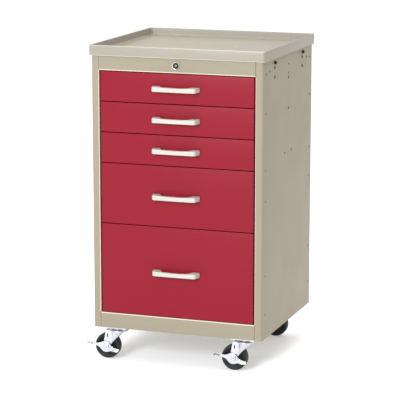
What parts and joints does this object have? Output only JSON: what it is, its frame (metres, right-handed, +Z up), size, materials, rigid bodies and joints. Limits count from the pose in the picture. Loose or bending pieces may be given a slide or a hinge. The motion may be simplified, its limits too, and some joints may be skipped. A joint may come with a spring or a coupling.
{
  "type": "crash cart",
  "caption": "Upright cabinet on four swivel casters with stacked red drawers of three depths, bridge handles, a central lock and a rimmed worktop tray.",
  "frame": {"origin": "on the floor, directly under the middle of the cabinet", "axes": "+X to the right seen from the front, +Y from the drawer fronts towards the back, +Z up"},
  "size_m": [0.5519, 0.52, 0.932],
  "materials": {
    "cabinet_paint": "fine textured beige-grey powder coat, semi-matt",
    "worktop_plastic": "finely grained light grey-beige moulded plastic",
    "drawer_paint": "smooth crimson powder coat, semi-gloss",
    "drawer_box_paint": "smooth light grey-beige powder coat",
    "handle_plastic": "cream moulded plastic, satin",
    "slide_zinc": "bright zinc plate, lightly greased",
    "caster_zinc": "bright zinc plated pressed steel",
    "wheel_core": "charcoal moulded plastic",
    "wheel_tyre": "black rubber tread, lightly scuffed",
    "lock_metal": "polished lock ring",
    "lock_plug_metal": "turned grey lock plug",
    "black_screw": "black moulded screw heads"
  },
  "bodies": {
    "cabinet": {"side_panel_left": "cabinet_paint", "side_panel_right": "cabinet_paint", "back_panel": "cabinet_paint", "base_pan": "cabinet_paint", "top_panel": "cabinet_paint", "top_fascia": "cabinet_paint", "worktop": "worktop_plastic", "panel_rivets": "cabinet_paint", "side_screws": "black_screw", "slide_uprights": "slide_zinc", "slide_channels": "slide_zinc", "caster_plates": "caster_zinc", "caster_bolts": "caster_zinc", "lock_housing": "lock_metal"},
    "lock_cylinder": {"lock_plug": "lock_plug_metal", "lock_rod": "slide_zinc"},
    "lock_bar": {"lock_bar": "slide_zinc"},
    "front_left_swivel": {"front_left_fork": "caster_zinc", "front_left_axle": "caster_zinc"},
    "front_left_roller": {"front_left_wheel": "wheel_core", "front_left_tyre": "wheel_tyre"},
    "front_left_brake": {"front_left_brake_pedal": "caster_zinc"},
    "front_right_swivel": {"front_right_fork": "caster_zinc", "front_right_axle": "caster_zinc"},
    "front_right_roller": {"front_right_wheel": "wheel_core", "front_right_tyre": "wheel_tyre"},
    "front_right_brake": {"front_right_brake_pedal": "caster_zinc"},
    "rear_left_swivel": {"rear_left_fork": "caster_zinc", "rear_left_axle": "caster_zinc"},
    "rear_left_roller": {"rear_left_wheel": "wheel_core", "rear_left_tyre": "wheel_tyre"},
    "rear_right_swivel": {"rear_right_fork": "caster_zinc", "rear_right_axle": "caster_zinc"},
    "rear_right_roller": {"rear_right_wheel": "wheel_core", "rear_right_tyre": "wheel_tyre"},
    "drawer_1": {"drawer_1_front": "drawer_paint", "drawer_1_box": "drawer_box_paint", "drawer_1_handle": "handle_plastic", "drawer_1_runners": "slide_zinc"},
    "drawer_1_mid": {"drawer_1_mid_runners": "slide_zinc"},
    "drawer_2": {"drawer_2_front": "drawer_paint", "drawer_2_box": "drawer_box_paint", "drawer_2_handle": "handle_plastic", "drawer_2_runners": "slide_zinc"},
    "drawer_2_mid": {"drawer_2_mid_runners": "slide_zinc"},
    "drawer_3": {"drawer_3_front": "drawer_paint", "drawer_3_box": "drawer_box_paint", "drawer_3_handle": "handle_plastic", "drawer_3_runners": "slide_zinc"},
    "drawer_3_mid": {"drawer_3_mid_runners": "slide_zinc"},
    "drawer_4": {"drawer_4_front": "drawer_paint", "drawer_4_box": "drawer_box_paint", "drawer_4_handle": "handle_plastic", "drawer_4_runners": "slide_zinc"},
    "drawer_4_mid": {"drawer_4_mid_runners": "slide_zinc"},
    "drawer_5": {"drawer_5_front": "drawer_paint", "drawer_5_box": "drawer_box_paint", "drawer_5_handle": "handle_plastic", "drawer_5_runners": "slide_zinc"},
    "drawer_5_mid": {"drawer_5_mid_runners": "slide_zinc"}
  },
  "joints": [
    {"name": "lock_bar_lift", "type": "slide", "parent": "cabinet", "child": "lock_bar", "axis": [0, 0, 1], "range_m": [0, 0.01414]},
    {"name": "lock_turn", "type": "hinge", "parent": "cabinet", "child": "lock_cylinder", "pos_m": [0, -0.244, 0.882], "axis": [0, 1, 0], "range_deg": [0, 90]},
    {"name": "front_left_swivel_turn", "type": "hinge", "parent": "cabinet", "child": "front_left_swivel", "pos_m": [-0.197, -0.2, 0.092], "axis": [0, 0, 1], "continuous": true},
    {"name": "front_left_wheel_roll", "type": "hinge", "parent": "front_left_swivel", "child": "front_left_roller", "pos_m": [-0.23, -0.2, 0.038], "axis": [0, 1, 0], "continuous": true},
    {"name": "front_left_brake_press", "type": "hinge", "parent": "front_left_swivel", "child": "front_left_brake", "pos_m": [-0.23, -0.2, 0.038], "axis": [0, -1, 0], "range_deg": [0, 25]},
    {"name": "front_right_swivel_turn", "type": "hinge", "parent": "cabinet", "child": "front_right_swivel", "pos_m": [0.197, -0.2, 0.092], "axis": [0, 0, 1], "continuous": true},
    {"name": "front_right_wheel_roll", "type": "hinge", "parent": "front_right_swivel", "child": "front_right_roller", "pos_m": [0.164, -0.2, 0.038], "axis": [0, 1, 0], "continuous": true},
    {"name": "front_right_brake_press", "type": "hinge", "parent": "front_right_swivel", "child": "front_right_brake", "pos_m": [0.164, -0.2, 0.038], "axis": [0, -1, 0], "range_deg": [0, 25]},
    {"name": "rear_left_swivel_turn", "type": "hinge", "parent": "cabinet", "child": "rear_left_swivel", "pos_m": [-0.197, 0.2, 0.092], "axis": [0, 0, 1], "continuous": true},
    {"name": "rear_left_wheel_roll", "type": "hinge", "parent": "rear_left_swivel", "child": "rear_left_roller", "pos_m": [-0.23, 0.2, 0.038], "axis": [0, 1, 0], "continuous": true},
    {"name": "rear_right_swivel_turn", "type": "hinge", "parent": "cabinet", "child": "rear_right_swivel", "pos_m": [0.197, 0.2, 0.092], "axis": [0, 0, 1], "continuous": true},
    {"name": "rear_right_wheel_roll", "type": "hinge", "parent": "rear_right_swivel", "child": "rear_right_roller", "pos_m": [0.164, 0.2, 0.038], "axis": [0, 1, 0], "continuous": true},
    {"name": "drawer_1_slide", "type": "slide", "parent": "cabinet", "child": "drawer_1", "axis": [0, -1, 0], "range_m": [0, 0.4]},
    {"name": "drawer_1_mid_slide", "type": "slide", "parent": "cabinet", "child": "drawer_1_mid", "axis": [0, -1, 0], "range_m": [0, 0.2]},
    {"name": "drawer_2_slide", "type": "slide", "parent": "cabinet", "child": "drawer_2", "axis": [0, -1, 0], "range_m": [0, 0.4]},
    {"name": "drawer_2_mid_slide", "type": "slide", "parent": "cabinet", "child": "drawer_2_mid", "axis": [0, -1, 0], "range_m": [0, 0.2]},
    {"name": "drawer_3_slide", "type": "slide", "parent": "cabinet", "child": "drawer_3", "axis": [0, -1, 0], "range_m": [0, 0.4]},
    {"name": "drawer_3_mid_slide", "type": "slide", "parent": "cabinet", "child": "drawer_3_mid", "axis": [0, -1, 0], "range_m": [0, 0.2]},
    {"name": "drawer_4_slide", "type": "slide", "parent": "cabinet", "child": "drawer_4", "axis": [0, -1, 0], "range_m": [0, 0.4]},
    {"name": "drawer_4_mid_slide", "type": "slide", "parent": "cabinet", "child": "drawer_4_mid", "axis": [0, -1, 0], "range_m": [0, 0.2]},
    {"name": "drawer_5_slide", "type": "slide", "parent": "cabinet", "child": "drawer_5", "axis": [0, -1, 0], "range_m": [0, 0.4]},
    {"name": "drawer_5_mid_slide", "type": "slide", "parent": "cabinet", "child": "drawer_5_mid", "axis": [0, -1, 0], "range_m": [0, 0.2]}
  ],
  "couplings": [
    {"joint": "lock_turn", "follows": "lock_bar_lift", "rad_per_m": 111.07},
    {"joint": "drawer_1_mid_slide", "follows": "drawer_1_slide", "ratio": 0.5},
    {"joint": "drawer_2_mid_slide", "follows": "drawer_2_slide", "ratio": 0.5},
    {"joint": "drawer_3_mid_slide", "follows": "drawer_3_slide", "ratio": 0.5},
    {"joint": "drawer_4_mid_slide", "follows": "drawer_4_slide", "ratio": 0.5},
    {"joint": "drawer_5_mid_slide", "follows": "drawer_5_slide", "ratio": 0.5}
  ]
}
